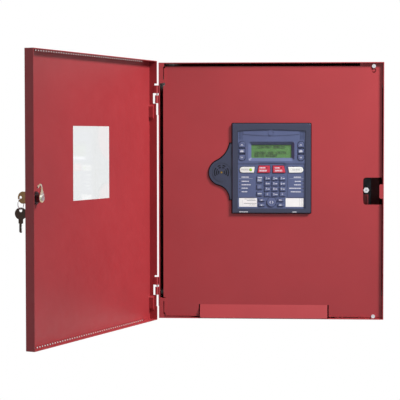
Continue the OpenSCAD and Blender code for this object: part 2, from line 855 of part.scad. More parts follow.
// Lugs at the left corners, stepped forward to lie just behind the backbox's corner tabs, each
// with a slit along the tab's edge
module panel_lugs() {
  low = top_z - corner_tab_h + 1;
  slit_x = corner_tab_w - side_x;
  for (s = [-1, 1]) {
    z = s > 0 ? [low, lug_top_z] : [-lug_top_z, -low];
    slit_z = s > 0 ? [top_z - tab_slit_end, top_z] : [-top_z, tab_slit_end - top_z];
    difference() {
      union() {
        block(lug_x - lug_w, lug_x + panel_t, lug_y, lug_y + panel_t, z[0], z[1]);
        block(lug_x, lug_x + panel_t, lug_y, panel_back_y, z[0], z[1]);
      }
      block(slit_x, slit_x + tab_slit_w, lug_y - over, lug_y + panel_t + over, slit_z[0], slit_z[1]);
    }
  }
}

module dress_panel() {
  corner = corner_tab_h - (top_z - panel_z1) + 4;
  front = panel_y - over;
  back = panel_back_y + over;
  lip_end = lip_len / 2 + lip_slit;
  color(red) {
    difference() {
      block(panel_x0, panel_x1, panel_y, panel_back_y, panel_z0, panel_z1);
      keypad_cutout();
      translate([panel_x1, 0, 0]) slab(concat([[over, notch_h / 2]],
        arc([notch_r - notch_w, notch_h / 2 - notch_r], notch_r, 90, 180, 6),
        arc([notch_r - notch_w, notch_r - notch_h / 2], notch_r, 180, 270, 6), [[over, -notch_h / 2]]),
        front, back - front);
      panel_screw_slots();
      block(panel_x0 - over, lug_x, front, back, panel_z1 - corner, panel_z1 + over);
      block(panel_x0 - over, lug_x, front, back, panel_z0 - over, panel_z0 + corner);
      block(lip_x - lip_end, lip_x + lip_end, front, back, panel_z0 - over, panel_z0 + lip_room);
    }
    panel_lip();
    panel_lugs();
  }
}

module dress_panel_screws() {
  color(steel) for (z = [screw_top_z, screw_bottom_z]) {
    difference() {
      union() {
        rod_y(screw_x, z, panel_y - 2, 2, screw_head_r);
        rod_y(screw_x, z, panel_y - 1, 9, screw_r);
      }
      translate([screw_x, panel_y - 2, z]) rotate([0, 30, 0])
        cube([2 * screw_head_r + over, 1.6, 1], center = true);
    }
  }
}

// ---- keypad -------------------------------------------------------------------

// Opening of the frame over the fascia, its upper edge a shallow arch
function fascia_outline(grow) =
  let (w = fascia_w / 2 + grow, h = fascia_h / 2 + grow,
    r = (w * w + arch_rise * arch_rise) / (2 * arch_rise), a = asin(w / r))
  concat([[w, -h]], arc([0, h - r], r, 90 - a, 90 + a, 10), [[-w, -h]]);

// Arc slots over the sounder, and the hole in the middle
module sounder_slots() {
  w = 0.95;
  inner_r = 5.6;
  for (r = [inner_r, 9.4, 13.3], a = r == inner_r ? [[-32, 32], [148, 212]]
      : [[-32, 38], [142, 212], [56, 82], [98, 124]]) {
    slab(shift(band(r - w, r + w, a[0], a[1], 6), [lobe_x, lobe_z]), ear_y - over, frame_wall + 2 * over);
  }
  rod_y(lobe_x, lobe_z, ear_y - over, frame_wall + 2 * over, 2.2);
}

module ear() {
  wall = 1.6;
  ring_groove = 0.6;
  root_groove_w = 1.4;
  difference() {
    slab(ear_outline(0), ear_y, frame_back_y - ear_y);
    slab([for (p = ear_outline(-wall)) [min(p[0], -keypad_w / 2 + 0.5), p[1]]], ear_y + frame_wall,
      frame_back_y - ear_y);
    sounder_slots();
    difference() {
      rod_y(lobe_x, lobe_z, ear_y - over, over + ring_groove, 18.2);
      rod_y(lobe_x, lobe_z, ear_y - 2 * over, 4 * over, 16.8);
    }
    block(-keypad_w / 2 - root_groove_w, -keypad_w / 2, ear_y - over, ear_y + frame_wall - 0.8,
      ear_bottom_z - over, ear_top_z + over);
  }
}

module keypad_frame() {
  edge = 1.2;
  color(navy) on_keypad() {
    difference() {
      hull() {
        slab(rounded(keypad_w - 2 * edge, keypad_h - 2 * edge, 1.2, 2), frame_y, edge);
        slab(rounded(keypad_w, keypad_h, 1.6, 2), frame_y + edge, frame_back_y - frame_y - edge);
      }
      slab(rounded(keypad_w - 2 * frame_wall, keypad_h - 2 * frame_wall, 1, 2), frame_y + front_wall,
        frame_back_y - frame_y);
      translate([fascia_x, 0, fascia_z]) slab(fascia_outline(0), frame_y - over, front_wall + 2 * over);
      for (x = pry_slots) {
        block(x[0], x[1], frame_y - over, frame_y + 2.5, -keypad_h / 2 - over, 1.4 - keypad_h / 2);
      }
    }
    for (x = [-boss_x, boss_x], z = [-boss_z, boss_z]) {
      difference() {
        rod_y(x, z, frame_y + front_wall - 0.2, board_y - frame_y - front_wall + 0.2, boss_r);
        rod_y(x, z, frame_y + front_wall + 1, board_y - frame_y, 1.1);
      }
    }
    ear();
  }
}

// An open cup with a brass stud in the middle of its floor
module sounder() {
  cup_wall = 0.8;
  cup_depth = 3;
  front = ear_y + frame_wall + 0.1;
  color("dimgray") on_keypad() difference() {
    union() {
      rod_y(lobe_x, lobe_z, front, sounder_h, sounder_r);
      rod_y(lobe_x, lobe_z, front + sounder_h - 0.1, 1.2, sounder_r - 4);
    }
    rod_y(lobe_x, lobe_z, front - over, cup_depth + over, sounder_r - cup_wall);
  }
  color("darkgoldenrod") on_keypad() rod_y(lobe_x, lobe_z, front + 0.4, cup_depth, 2.2);
}

// Outlines of the keys, each about its own place on the keypad
function digit_place(i) = [digit_x + digit_pitch_x * (i % 3 - 1), digit_z - digit_pitch_z * floor(i / 3)];

// Left-hand function keys: white with a round end, red with a slanted side
function white_key(g) =
  let (r = (white_key_top - function_key_bottom) / 2)
  concat([[g - white_key_inner, white_key_top + g]],
    arc([r - white_key_end, white_key_top - r], r + g, 90, 270, 8),
    [[g - white_key_foot, function_key_bottom - g]]);
function red_key(g) = [[g - red_key_inner, red_key_top + g], [-red_key_end - g, red_key_top + g],
  [-red_key_foot - g, function_key_bottom - g], [g - red_key_inner, function_key_bottom - g]];
function flip(pts) = [for (p = pts) [-p[0], p[1]]];

// House-shaped scroll key with its point up
function scroll_key(g) =
  let (w = scroll_w / 2 + g, eaves = scroll_eaves_z + g * 0.6, ridge = scroll_ridge_w + g * 0.5)
  [[-w, scroll_foot_z - g], [w, scroll_foot_z - g], [w, eaves], [ridge, scroll_ridge_z + g],
    [-ridge, scroll_ridge_z + g], [-w, eaves]];
function scroll_down(g) = [for (p = scroll_key(g)) [p[0], 2 * scroll_mid_z - p[1]]];
function enter_key(g) = shift(rounded(scroll_w + 2 * g, enter_h + 2 * g, 1 + g, 2), [0, enter_z]);
function menu_key(i, g) = shift(rounded(menu_w + 2 * g, menu_keys[i][1] + 2 * g, 0.8 + g, 2),
  [menu_x, menu_keys[i][0]]);

// Outline of each moving key, grown by g: the same rule gives the key, its flange and its hole
function key_shape(name, g) =
  let (found = search([name], DIGIT_KEYS)[0])
  found != [] ? shift(rounded(digit_w + 2 * g, digit_h + 2 * g, 0.8 + g, 2), digit_place(found))
  : name == "menu_key_top" ? menu_key(0, g)
  : name == "menu_key_middle" ? menu_key(1, g)
  : name == "menu_key_bottom" ? menu_key(2, g)
  : name == "scroll_up_left" ? shift(scroll_key(g), [-scroll_x, 0])
  : name == "scroll_enter_left" ? shift(enter_key(g), [-scroll_x, 0])
  : name == "scroll_down_left" ? shift(scroll_down(g), [-scroll_x, 0])
  : name == "scroll_up_right" ? shift(scroll_key(g), [scroll_x, 0])
  : name == "scroll_enter_right" ? shift(enter_key(g), [scroll_x, 0])
  : name == "scroll_down_right" ? shift(scroll_down(g), [scroll_x, 0])
  : name == "acknowledge_key" ? white_key(g)
  : name == "silence_key" ? red_key(g)
  : name == "drill_key" ? flip(red_key(g))
  : name == "reset_key" ? flip(white_key(g))
  : name == "nav_key" ? arc([nav_x, nav_z], nav_r + g, 0, 345, 23)
  : shift(rounded(soft_w + 2 * g, soft_h + 2 * g, 0.8 + g, 2),
    [soft_x * (name == "soft_key_1" || name == "soft_key_2" ? -1 : 1),
      name == "soft_key_1" || name == "soft_key_3" ? soft_z[0] : soft_z[1]]);

KEYS = [for (i = [30 : 59]) NODES[i]];
DIGIT_KEYS = [for (i = [30 : 41]) NODES[i]];
SCROLL_KEYS = [for (i = [45 : 50]) NODES[i]];
WELL_KEYS = concat(SCROLL_KEYS, ["acknowledge_key", "silence_key", "drill_key", "reset_key", "nav_key"]);

// How far a key stands out of the fascia's ground: the scroll keys clear the display's surround
function key_rise(name) = search([name], SCROLL_KEYS)[0] == [] ? key_proud : plateau + 0.9;

function key_colour(name) =
  name == "acknowledge_key" || name == "reset_key" ? cream
  : name == "silence_key" || name == "drill_key" ? "crimson" : "#545d80";

// One key: a cap with a bevelled crown, and the flange that keeps it behind the fascia
module key(name) {
  crown = 0.6;
  top = fascia_y - key_rise(name);
  color(key_colour(name)) on_keypad() difference() {
    union() {
      hull() {
        slab(key_shape(name, -0.5), top, crown);
        slab(key_shape(name, 0), top + crown, key_flange_y + 0.1 - top - crown);
      }
      slab(key_shape(name, 0.7), key_flange_y, key_flange_t);
    }
    for (p = key_lamps) {
      rod_y(p[0], p[1], top - over, board_y - top + over, p[2] + 0.3);
    }
  }
}

// The opening over the display, sloping in from its surround to the glass
module display_opening() {
  translate([lcd_x, 0, lcd_z]) {
    hull() {
      slab(rounded(lcd_rim_w, lcd_rim_h, 5, 4), fascia_y - plateau - 0.2, 0.1);
      slab(rounded(lcd_w, lcd_h, 1, 2), fascia_back_y - 0.1, 0.1);
    }
    slab(rounded(lcd_w, lcd_h, 1, 2), fascia_back_y - 0.2, fascia_t);
  }
}

// What stands up from the fascia's ground within the outline pts
module raised_field(pts, rise) {
  intersection() {
    translate([fascia_x, 0, fascia_z]) slab(fascia_outline(-0.4), fascia_y - rise, rise + 0.1);
    slab(pts, fascia_y - rise, rise + 0.1);
  }
}

// The display's surround with its brow and boss, and the status fields beside the digit keys
module fascia_relief() {
  wide = keypad_w;
  digit_top_z = plateau_z + 1.6;
  notch_x = 24.4;
  field_x = 30.6;
  field_top_z = plateau_z - 1.4;
  field_foot_z = -54.6;
  brow_w = 52.4;
  brow_foot_z = 61.5;
  brow_sag = 3;
  brow_r = (brow_w * brow_w + brow_sag * brow_sag) / (2 * brow_sag);
  a = asin(brow_w / brow_r);
  raised_field([[-wide, plateau_z], [-notch_x - 1.2, plateau_z], [-notch_x, digit_top_z],
    [notch_x, digit_top_z], [notch_x + 1.2, plateau_z], [wide, plateau_z], [wide, keypad_h],
    [-wide, keypad_h]], plateau);
  for (s = [-1, 1]) {
    raised_field([for (p = [[wide, field_top_z], [notch_x + 2.2, field_top_z], [notch_x + 4.5, 4],
      [field_x, -9], [field_x, field_foot_z], [wide, field_foot_z]]) [s * p[0], p[1]]], field_rise);
  }
  raised_field(concat(arc([0, brow_foot_z + brow_r], brow_r, 270 - a, 270 + a, 12),
    [[brow_w, 69.4], [-brow_w, 69.4]]), plateau + 0.7);
}

// A round boss in the middle of the brow, with a sunk face
module brow_boss() {
  boss = [-0.4, 67.1];
  r = 5.4;
  rise = plateau + 1.3;
  difference() {
    rod_y(boss[0], boss[1], fascia_y - rise, rise, r);
    rod_y(boss[0], boss[1], fascia_y - rise - over, over + 0.6, r - 0.9);
  }
}

// Three upright flutes in the surround above each row of scroll keys
module flutes() {
  for (s = [-1, 1], x = [54.9, 57.5, 60.1]) {
    block(s * x - 0.5, s * x + 0.5, fascia_y - 3, fascia_y - plateau + 1, 54, 71);
  }
}

module keypad_fascia() {
  well = 1.1;
  well_depth = 1;
  front = fascia_y - 3;
  color(slate) on_keypad() difference() {
    union() {
      translate([fascia_x, 0, fascia_z]) slab(fascia_outline(fascia_lap), fascia_y, fascia_t);
      fascia_relief();
      brow_boss();
    }
    display_opening();
    flutes();
    for (name = KEYS) {
      slab(key_shape(name, key_gap), front, fascia_back_y + over - front);
    }
    for (name = WELL_KEYS) {
      slab(key_shape(name, well), front, fascia_y + well_depth - front);
    }
    for (s = [-1, 1]) {
      slab(shift(rounded(scroll_w + 2 * well, 24, 0.6, 2), [s * scroll_x, scroll_mid_z]), front,
        fascia_y + well_depth - front);
      slab(shift(rounded(label_w, label_h, 0.6, 2), [s * label_x, label_z]), front,
        fascia_y + label_sink - front);
      for (i = [0 : 3]) {
        rod_y(s * lamp_x, lamp_z - i * lamp_pitch, front, fascia_back_y + over - front, lamp_r + 0.2);
      }
    }
  }
}

module display_window() {
  color("white", 0.3) on_keypad() translate([lcd_x, 0, lcd_z])
    slab(rounded(lcd_w + 3, lcd_h + 3, 1, 2), fascia_back_y + 0.1, pane_back - 0.1);
}

module display_module() {
  color("olivedrab") on_keypad() translate([lcd_x, 0, lcd_z])
    slab(rounded(lcd_w + 9, lcd_h + 9, 1, 2), fascia_back_y + pane_back + 0.1,
      board_y - fascia_back_y - pane_back - 0.2);
}

module label_inserts() {
  color("white") on_keypad() for (s = [-1, 1]) {
    translate([s * label_x, 0, label_z]) slab(rounded(label_w - 0.3, label_h - 0.3, 0.5, 2),
      fascia_y + label_sink - 0.4, 0.35);
  }
}

module keypad_board() {
  color("darkgreen") on_keypad() difference() {
    slab(rounded(keypad_w - 2 * frame_wall - 0.6, keypad_h - 2 * frame_wall - 0.6, 1, 2), board_y, board_t);
    for (x = [-boss_x, boss_x], z = [-boss_z, boss_z]) {
      rod_y(x, z, board_y - over, board_t + 2 * over, 1.3);
    }
  }
  color("gold") on_keypad() {
    for (s = [-1, 1], i = [0 : 3]) {
      rod_y(s * lamp_x, lamp_z - i * lamp_pitch, fascia_y - 0.4, board_y - fascia_y + 0.4, lamp_r);
    }
    for (p = key_lamps) {
      rod_y(p[0], p[1], fascia_y - 0.9, board_y - fascia_y + 0.9, p[2]);
    }
  }
}

// ---- inside -------------------------------------------------------------------

module chassis() {
  foot = 12;
  color("gainsboro") {
    block(chassis_x0, chassis_x1, chassis_y - chassis_t, chassis_y, chassis_z0, chassis_z1);
    for (x = [chassis_x0, chassis_x1 - chassis_t]) {
      block(x, x + chassis_t, chassis_y - 0.1, floor_y, chassis_z0, chassis_z1);
    }
    for (x = [chassis_x0, chassis_x1 - foot]) {
      block(x, x + foot, floor_y - chassis_t, floor_y, chassis_z0, chassis_z1);
    }
    for (x = [main_x0 + post_inset, main_x1 - post_inset],
        z = [main_z0 + post_inset, (main_z0 + main_z1) / 2, main_z1 - post_inset]) {
      rod_y(x, z, main_y + board_t, main_lift + 0.1, post_r);
    }
  }
  color(steel) on_keypad() for (x = [-boss_x, boss_x], z = [-boss_z, boss_z]) {
    rod_y(x, z, board_back_y, chassis_y - chassis_t - board_back_y + 0.1, boss_r);
  }
}

module main_board() {
  color("darkgreen") difference() {
    block(main_x0, main_x1, main_y, main_y + board_t, main_z0, main_z1);
    on_keypad() for (x = [-boss_x, boss_x], z = [-boss_z, boss_z]) {
      rod_y(x, z, main_y - over, board_t + 2 * over, post_r + 1);
    }
  }
}

// A terminal strip with its wire mouths in the lower or the upper side
module terminal_strip(x, z, down) {
  difference() {
    block(x, x + strip_l, main_y - strip_d, main_y, z, z + strip_h);
    for (i = [0 : 3]) {
      m = x + mouth_x + mouth_pitch * i;
      y = main_y - mouth_lift;
      block(m - mouth_w / 2, m + mouth_w / 2, y - mouth_w / 2, y + mouth_w / 2,
        down ? z - over : z + strip_h - mouth_depth, down ? z + mouth_depth : z + strip_h + over);
    }
  }
}

// Terminal strips, four relays, three smoothing capacitors, the processor and a heat sink
module board_components() {
  relay_x = main_x0 + 188;
  relay_z = main_z0 + 20;
  relay_pitch = 18;
  relay_w = 14;
  can_x = main_x0 + 200;
  can_z = main_z1 - 32;
  can_r = 9;
  can_pitch = 24;
  chip_x = main_x0 + 70;
  chip_z = main_z0 + 130;
  chip_w = 36;
  sink_x = main_x0 + 16;
  sink_z = main_z1 - 62;
  color("darkgreen") {
    for (i = [0 : 4]) {
      terminal_strip(lower_strip_x + i * strip_pitch, main_z0 + 1, true);
    }
    for (i = [0 : 6]) {
      terminal_strip(main_x0 + 10 + i * strip_pitch, main_z1 - strip_h - 1, false);
    }
  }
  color("darkslategray") {
    for (i = [0 : 3]) {
      block(relay_x + relay_pitch * i, relay_x + relay_pitch * i + relay_w, main_y - 16, main_y,
        relay_z, relay_z + 20);
    }
    for (i = [0 : 2]) {
      rod_y(can_x + can_pitch * i, can_z, main_y - 30, 30, can_r);
    }
    block(chip_x, chip_x + chip_w, main_y - 3, main_y, chip_z, chip_z + chip_w);
    block(sink_x, sink_x + 44, main_y - 22, main_y, sink_z, sink_z + 6);
  }
}

// Laminated core in a strap bracket with two screw ears, and the bobbin through it
module transformer() {
  core_w = 32;
  core_h = 27;
  core_t = 26;
  strap_t = 1.2;
  screw_ear = 12;
  bobbin_w = 20;
  bobbin_h = 18;
  bobbin_proud = 10;
  back = floor_y - strap_t;
  front = back - transformer_d;
  translate([transformer_x, 0, transformer_z]) {
    color("dimgray") {
      block(-core_w, core_w, front, front + core_t, -core_h, core_h);
      block(-core_w - strap_t, core_w + strap_t, back, floor_y, -core_h - screw_ear, core_h + screw_ear);
      block(-core_w - strap_t, -core_w, front, back, -core_h, core_h);
      block(core_w, core_w + strap_t, front, back, -core_h, core_h);
    }
    color("khaki") block(-bobbin_w, bobbin_w, front - bobbin_proud, front + core_t + bobbin_proud,
      -bobbin_h, bobbin_h);
  }
}

// Left edges of the two batteries, which stand side by side on the floor
battery_left = [-battery_l - battery_gap / 2, battery_gap / 2];

module batteries() {
  front = battery_y - battery_t;
  for (x = battery_left) {
    color("#2b2b2e") difference() {
      block(x, x + battery_l, front, battery_y, -in_z, battery_top_z);
      block(x + 14, x + battery_l - 14, front + 16, battery_y - 16, battery_top_z - 4, battery_top_z + over);
    }
    color(steel) for (t = [x + terminal_x, x + battery_l - terminal_x]) {
      block(t - terminal_w / 2, t + terminal_w / 2, front + terminal_y - 0.5, front + terminal_y + 0.5,
        battery_top_z - over, battery_top_z + terminal_h);
    }
  }
}

// A ring of points about p, square to the direction t, which never runs along Y
function ring_at(p, t, r, n) =
  let (f = t / norm(t), a = cross(f, [0, 1, 0]) / norm(cross(f, [0, 1, 0])), b = cross(f, a))
  [for (i = [0 : n - 1]) p + r * (cos(360 * i / n) * a + sin(360 * i / n) * b)];

// Rings along a route, and the solid between them
module tube(route, r) {
  n = 8;
  m = len(route);
  points = [for (i = [0 : m - 1], q = ring_at(route[i],
    route[min(i + 1, m - 1)] - route[max(i - 1, 0)], r, n)) q];
  polyhedron(points, concat([[for (i = [0 : n - 1]) i]],
    [for (j = [0 : m - 2], i = [0 : n - 1])
      [j * n + i, (j + 1) * n + i, (j + 1) * n + (i + 1) % n, j * n + (i + 1) % n]],
    [[for (i = [n - 1 : -1 : 0]) (m - 1) * n + i]]), convexity = 4);
}

// Points along a smooth curve from a to b that leaves and arrives along the given pulls
function curve(a, pull_a, b, pull_b, n) = [for (i = [0 : n])
  let (t = i / n)
  pow(1 - t, 3) * a + 3 * pow(1 - t, 2) * t * (a + pull_a) + 3 * (1 - t) * t * t * (b + pull_b)
    + t * t * t * b];

// Leads from the batteries' outer terminals into the board's lower strip, and the link between
// the inner ones: each leaves its terminal and enters its mouth straight
module battery_leads() {
  wire_r = 1.4;
  tab_y = battery_y - battery_t + terminal_y;
  up = [0, 0, 1];
  ends = [for (x = battery_left, e = [terminal_x, battery_l - terminal_x])
    [x + e, tab_y, battery_top_z + terminal_h + 0.2]];
  mouths = [for (i = [0, 1])
    [lower_strip_x + mouth_x + mouth_pitch * i, main_y - mouth_lift, main_z0 + 0.4]];
  for (i = [0, 1]) {
    a = ends[3 * i];
    color(i == 0 ? "crimson" : "#202024")
      tube(concat([a], curve(a + 2 * up, 28 * up, mouths[i], -28 * up, 12), [mouths[i] + 4 * up]), wire_r);
  }
  color("royalblue") tube(concat([ends[1]], curve(ends[1] + 2 * up, 16 * up, ends[2] + 2 * up, 16 * up, 10),
    [ends[2]]), wire_r);
}

module hex_standoff() {
  color(steel) difference() {
    translate([standoff_x, chassis_y - chassis_t, standoff_z]) rotate([90, 0, 0])
      cylinder(h = chassis_y - chassis_t - standoff_front_y, r = standoff_af / 2 / cos(30), $fn = 6);
    rod_y(standoff_x, standoff_z, standoff_front_y - over, 12, 1.7);
  }
}

// ---- nodes --------------------------------------------------------------------

backbox();
box_hinges();
hinge_pins();
chassis();
main_board();
board_components();
transformer();
batteries();
battery_leads();
dress_panel();
dress_panel_screws();
hex_standoff();
keypad_frame();
keypad_fascia();
display_window();
display_module();
sounder();
keypad_board();
label_inserts();
door();
door_window();
door_hinges();
lock_body();
lock_nut();
lock_plug();
lock_cam();
cam_screw();
key_in_lock();
key_ring();
spare_key();
for (name = KEYS) {
  key(name);
}
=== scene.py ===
"""Looks of the fire alarm control panel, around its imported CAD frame.

Metres, +Z up; the wall is at +Y and the panel faces -Y, with its door stored open at the left.
The CAD nodes keep their shapes and get procedural materials. The legends, the display's figures,
the lamps' lenses and the sounder's stud are new pieces that ride on the same bodies.
"""
import json
import math

import bmesh
import bpy
from mathutils import Matrix, Vector


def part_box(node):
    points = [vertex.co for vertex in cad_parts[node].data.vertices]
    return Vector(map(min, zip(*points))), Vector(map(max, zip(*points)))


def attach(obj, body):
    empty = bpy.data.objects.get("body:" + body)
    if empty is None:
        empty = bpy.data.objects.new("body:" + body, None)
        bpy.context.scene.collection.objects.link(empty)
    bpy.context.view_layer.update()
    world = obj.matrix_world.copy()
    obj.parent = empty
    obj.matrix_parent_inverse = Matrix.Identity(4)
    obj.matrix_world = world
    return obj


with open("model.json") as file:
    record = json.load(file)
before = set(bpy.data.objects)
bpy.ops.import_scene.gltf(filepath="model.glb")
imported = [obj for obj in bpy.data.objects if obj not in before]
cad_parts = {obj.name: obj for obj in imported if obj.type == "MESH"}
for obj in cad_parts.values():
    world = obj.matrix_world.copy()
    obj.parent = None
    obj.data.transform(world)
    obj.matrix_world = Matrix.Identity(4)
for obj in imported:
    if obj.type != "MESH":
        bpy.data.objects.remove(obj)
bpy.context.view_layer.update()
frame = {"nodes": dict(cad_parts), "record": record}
NODES = frame["nodes"]
MM = 0.001

# ---- camera ---------------------------------------------------------------------

# Fitted to the corners of the box and the door in the photograph
PHOTO_SIDE = 400
FOCAL_PX = 1362.2
CAMERA_PLACE = Vector((0.0735, -2.6913, 0.1033))
CAMERA_YAW = math.radians(-3.36)
CAMERA_PITCH = math.radians(-2.06)
CAMERA_SHIFT = (-0.075, -0.0375)


def make_camera():
    data = bpy.data.cameras.new("camera")
    data.sensor_width = 36
    data.lens = data.sensor_width * FOCAL_PX / PHOTO_SIDE
    data.shift_x, data.shift_y = CAMERA_SHIFT
    data.clip_start, data.clip_end = 0.05, 60
    camera = bpy.data.objects.new("camera", data)
    camera.location = CAMERA_PLACE
    camera.rotation_euler = (math.pi / 2 + CAMERA_PITCH, 0, -CAMERA_YAW)
    bpy.context.scene.collection.objects.link(camera)
    bpy.context.scene.camera = camera


# ---- materials ------------------------------------------------------------------

def srgb(red, green, blue):
    """A colour given as it looks on a screen, 0 to 255, as the shader's linear colour."""
    def linear(c):
        return c / 12.92 if c <= 0.04045 else ((c + 0.055) / 1.055) ** 2.4
    return tuple(linear(c / 255) for c in (red, green, blue)) + (1.0,)


class Surface:
    """A Principled material whose colour, gloss and relief vary by noise over the object."""

    def __init__(self, name, colour, roughness, metallic=0.0):
        self.material = bpy.data.materials.new(name)
        self.material.use_nodes = True
        self.nodes = self.material.node_tree.nodes
        self.links = self.material.node_tree.links
        self.shader = self.nodes["Principled BSDF"]
        self.colour = colour
        self.set("Base Color", colour)
        self.set("Roughness", roughness)
        self.set("Metallic", metallic)
        self.bump = None

    def set(self, socket, value):
        self.shader.inputs[socket].default_value = value
        return self

    def noise(self, per_metre, detail=3.0, stretch=(1, 1, 1)):
        """Noise with that many waves to the metre, finer along each axis by its stretch."""
        place = self.nodes.new("ShaderNodeTexCoord")
        scale = self.nodes.new("ShaderNodeMapping")
        scale.inputs["Scale"].default_value = [s * per_metre for s in stretch]
        texture = self.nodes.new("ShaderNodeTexNoise")
        texture.inputs["Scale"].default_value = 1.0
        texture.inputs["Detail"].default_value = detail
        self.links.new(place.outputs["Object"], scale.inputs["Vector"])
        self.links.new(scale.outputs["Vector"], texture.inputs["Vector"])
        return texture.outputs["Fac"]

    def ramp(self, source, stops):
        """Colours or greys along a noise, as (place from 0 to 1, colour)."""
        node = self.nodes.new("ShaderNodeValToRGB")
        while len(node.color_ramp.elements) < len(stops):
            node.color_ramp.elements.new(0.5)
        for element, (place, colour) in zip(node.color_ramp.elements, stops):
            element.position = place
            element.color = colour
        self.links.new(source, node.inputs["Fac"])
        return node.outputs["Color"]

    def mottle(self, per_metre, spread=0.1, detail=3.0, stretch=(1, 1, 1)):
        """Colour that drifts a little darker and lighter."""
        dark = tuple(c * (1 - spread) for c in self.colour[:3]) + (1.0,)
        light = tuple(min(1.0, c * (1 + spread)) for c in self.colour[:3]) + (1.0,)
        drift = self.ramp(self.noise(per_metre, detail, stretch), [(0.3, dark), (0.7, light)])
        self.links.new(drift, self.shader.inputs["Base Color"])
        return self

    def gloss(self, low, high, per_metre, stretch=(1, 1, 1)):
        """Roughness between two values."""
        node = self.nodes.new("ShaderNodeMapRange")
        node.inputs["From Min"].default_value = 0.3
        node.inputs["From Max"].default_value = 0.7
        node.inputs["To Min"].default_value = low
        node.inputs["To Max"].default_value = high
        self.links.new(self.noise(per_metre, 2.0, stretch), node.inputs["Value"])
        self.links.new(node.outputs["Result"], self.shader.inputs["Roughness"])
        return self

    def relief(self, per_metre, height, detail=2.0, stretch=(1, 1, 1)):
        """Fine bumps of that height in metres."""
        node = self.nodes.new("ShaderNodeBump")
        node.inputs["Distance"].default_value = height
        node.inputs["Strength"].default_value = 1.0
        self.links.new(self.noise(per_metre, detail, stretch), node.inputs["Height"])
        if self.bump:
            self.links.new(self.bump.outputs["Normal"], node.inputs["Normal"])
        self.links.new(node.outputs["Normal"], self.shader.inputs["Normal"])
        self.bump = node
        return self


def paint(name, colour, peel=0.00003):
    """Powder coat: a fine orange peel over a colour that is nearly even."""
    return Surface(name, colour, 0.42).mottle(9, 0.05).gloss(0.38, 0.48, 60).relief(650, peel, 3.0)


def plastic(name, colour, roughness=0.42, grain=0.00002):
    """Moulded plastic with a fine spark-eroded grain."""
    surface = Surface(name, colour, roughness).mottle(40, 0.06)
    return surface.gloss(roughness - 0.05, roughness + 0.07, 150).relief(2400, grain, 2.0)


def metal(name, colour, roughness, lay=(1, 1, 1)):
    """Plated metal with faint drawing marks along one direction."""
    surface = Surface(name, colour, roughness, 1.0).mottle(180, 0.12, 4.0, lay)
    surface.gloss(roughness - 0.08, roughness + 0.1, 260, lay)
    return surface.relief(900, 0.00001, 2.0, lay)


def clear_pane(name):
    """Clear polycarbonate."""
    surface = Surface(name, srgb(250, 252, 252), 0.03)
    surface.set("Transmission Weight", 1.0).set("IOR", 1.49).gloss(0.02, 0.05, 12)
    return surface


def make_materials():
    """One surface for each kind of part, by name."""
    solder_mask = Surface("solder_mask", srgb(22, 84, 52), 0.35)
    made = {
        "red_paint": paint("red_powder_coat", srgb(163, 52, 58)),
        "door_paint": paint("red_powder_coat_door", srgb(163, 52, 58)),
        "steel": metal("bright_zinc", srgb(214, 215, 218), 0.28),
        "dark_steel": metal("dark_nickel", srgb(92, 90, 92), 0.3),
        # This sheet's grey is darkened far below bare zinc so that the chassis deep in the box
        # reads as dark as the shade there: painted shade.
        "zinc_sheet": metal("sheet_darkened_as_shade", srgb(70, 72, 76), 0.45),
        "laminated_steel": plastic("varnished_steel", srgb(62, 64, 68), 0.5),
        "circuit_board": solder_mask.mottle(120, 0.2).relief(500, 0.00004),
        "dark_plastic": plastic("dark_moulding", srgb(34, 36, 42), 0.45),
        "battery_case": plastic("battery_moulding", srgb(40, 40, 46), 0.5),
        "lead_insulation": plastic("lead_sleeve", srgb(168, 26, 34), 0.4),
        "frame_plastic": plastic("navy_moulding", srgb(48, 54, 77), 0.4),
        "fascia_plastic": plastic("slate_moulding", srgb(84, 95, 133), 0.38),
        "key_plastic": plastic("key_moulding", srgb(88, 98, 136), 0.36),
        "white_key": plastic("cream_key", srgb(246, 250, 246), 0.32, 0.00001),
        "red_key": plastic("red_key", srgb(204, 58, 80), 0.32, 0.00001),
        "label_card": plastic("label_card", srgb(250, 252, 255), 0.6, 0.00001),
        "clear_pane": clear_pane("clear_polycarbonate"),
    }
    cam = metal("yellow_passivate", srgb(205, 196, 140), 0.3)
    hues = [(0.25, srgb(226, 232, 200)), (0.45, srgb(238, 236, 196)), (0.6, srgb(224, 228, 226)),
            (0.75, srgb(218, 208, 198))]
    cam.links.new(cam.ramp(cam.noise(150, 2.0), hues), cam.shader.inputs["Base Color"])
    made["yellow_zinc"] = cam
    made["brass_key"] = metal("worn_brass", srgb(120, 94, 66), 0.36)
    made["dark_key"] = metal("worn_nickel", srgb(58, 48, 44), 0.38)
    made["stud_brass"] = metal("tarnished_brass", srgb(172, 140, 66), 0.42)
    glass = Surface("display_glass", srgb(235, 240, 240), 0.06)
    glass.set("Alpha", 0.03).set("Specular IOR Level", 0.25)
    made["display_glass"] = glass
    crystal_green = srgb(80, 130, 66)
    crystal = Surface("liquid_crystal", crystal_green, 0.5).mottle(60, 0.06)
    crystal.set("Emission Color", crystal_green).set("Emission Strength", 0.05)
    crystal.set("Specular IOR Level", 0.15)
    made["display_green"] = crystal
    made["legend_white"] = Surface("legend_white", srgb(232, 236, 246), 0.5).mottle(400, 0.04)
    made["legend_dim"] = Surface("legend_dim", srgb(168, 176, 200), 0.5).mottle(400, 0.04)
    made["legend_grey"] = Surface("legend_grey", srgb(150, 152, 158), 0.6).mottle(400, 0.05)
    dark = Surface("crystal_dark", srgb(14, 28, 18), 0.6).mottle(400, 0.1)
    made["crystal_dark"] = dark.set("Specular IOR Level", 0.15)
    lit = Surface("lamp_green", srgb(150, 196, 40), 0.22).mottle(500, 0.1)
    lit.set("Emission Color", srgb(150, 205, 30)).set("Emission Strength", 0.15)
    made["lamp_green"] = lit
    made["lamp_off"] = Surface("lamp_off", srgb(70, 62, 66), 0.2).mottle(500, 0.15)
    return {name: surface.material for name, surface in made.items()}


